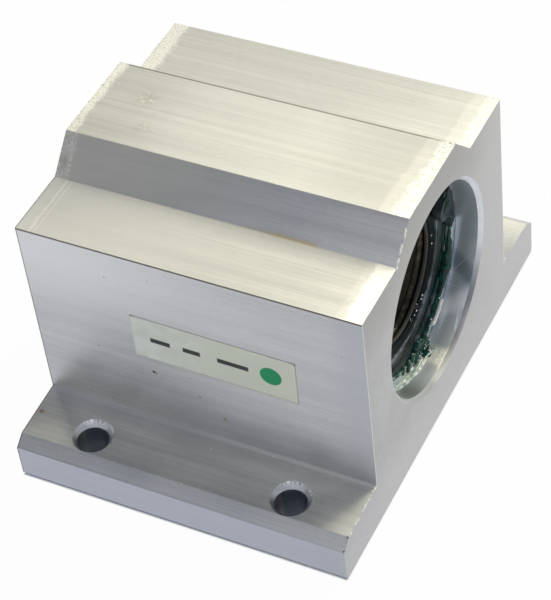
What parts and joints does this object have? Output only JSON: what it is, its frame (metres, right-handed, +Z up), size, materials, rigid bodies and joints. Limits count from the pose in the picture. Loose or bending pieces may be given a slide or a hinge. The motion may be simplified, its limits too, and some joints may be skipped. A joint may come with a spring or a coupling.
{
  "type": "linear bearing block",
  "caption": "Linear bearing block: extruded aluminium housing with a flanged base, holding a sealed ball bushing for a round shaft.",
  "frame": {"origin": "middle of the mounting face, on the base plane under the middle of the shaft bore", "axes": "+X along the shaft bore towards the end with the front circlip, +Y across the flanges away from the label, +Z up from the mounting face"},
  "size_m": [0.0522, 0.0698, 0.0447],
  "materials": {
    "housing": "mill-finished extrusion with sawn and milled ends",
    "label": "matt coated sticker",
    "circlip": "oiled spring steel",
    "sleeve": "ground bearing steel",
    "cage": "greased moulded polymer",
    "plate": "ground bearing steel",
    "ball": "polished bearing steel",
    "end_ring": "grey, slightly greasy",
    "seal": "glossy black rubber wet with grease"
  },
  "bodies": {
    "root": {"housing": "housing", "label": "label", "circlip_front": "circlip", "circlip_rear": "circlip", "bearing_sleeve": "sleeve", "ball_cage": "cage", "load_plate_1": "plate", "ball_circuit_1": "ball", "load_plate_2": "plate", "ball_circuit_2": "ball", "load_plate_3": "plate", "ball_circuit_3": "ball", "load_plate_4": "plate", "ball_circuit_4": "ball", "load_plate_5": "plate", "ball_circuit_5": "ball", "end_ring_front": "end_ring", "seal_front": "seal", "end_ring_rear": "end_ring", "seal_rear": "seal"}
  },
  "joints": []
}
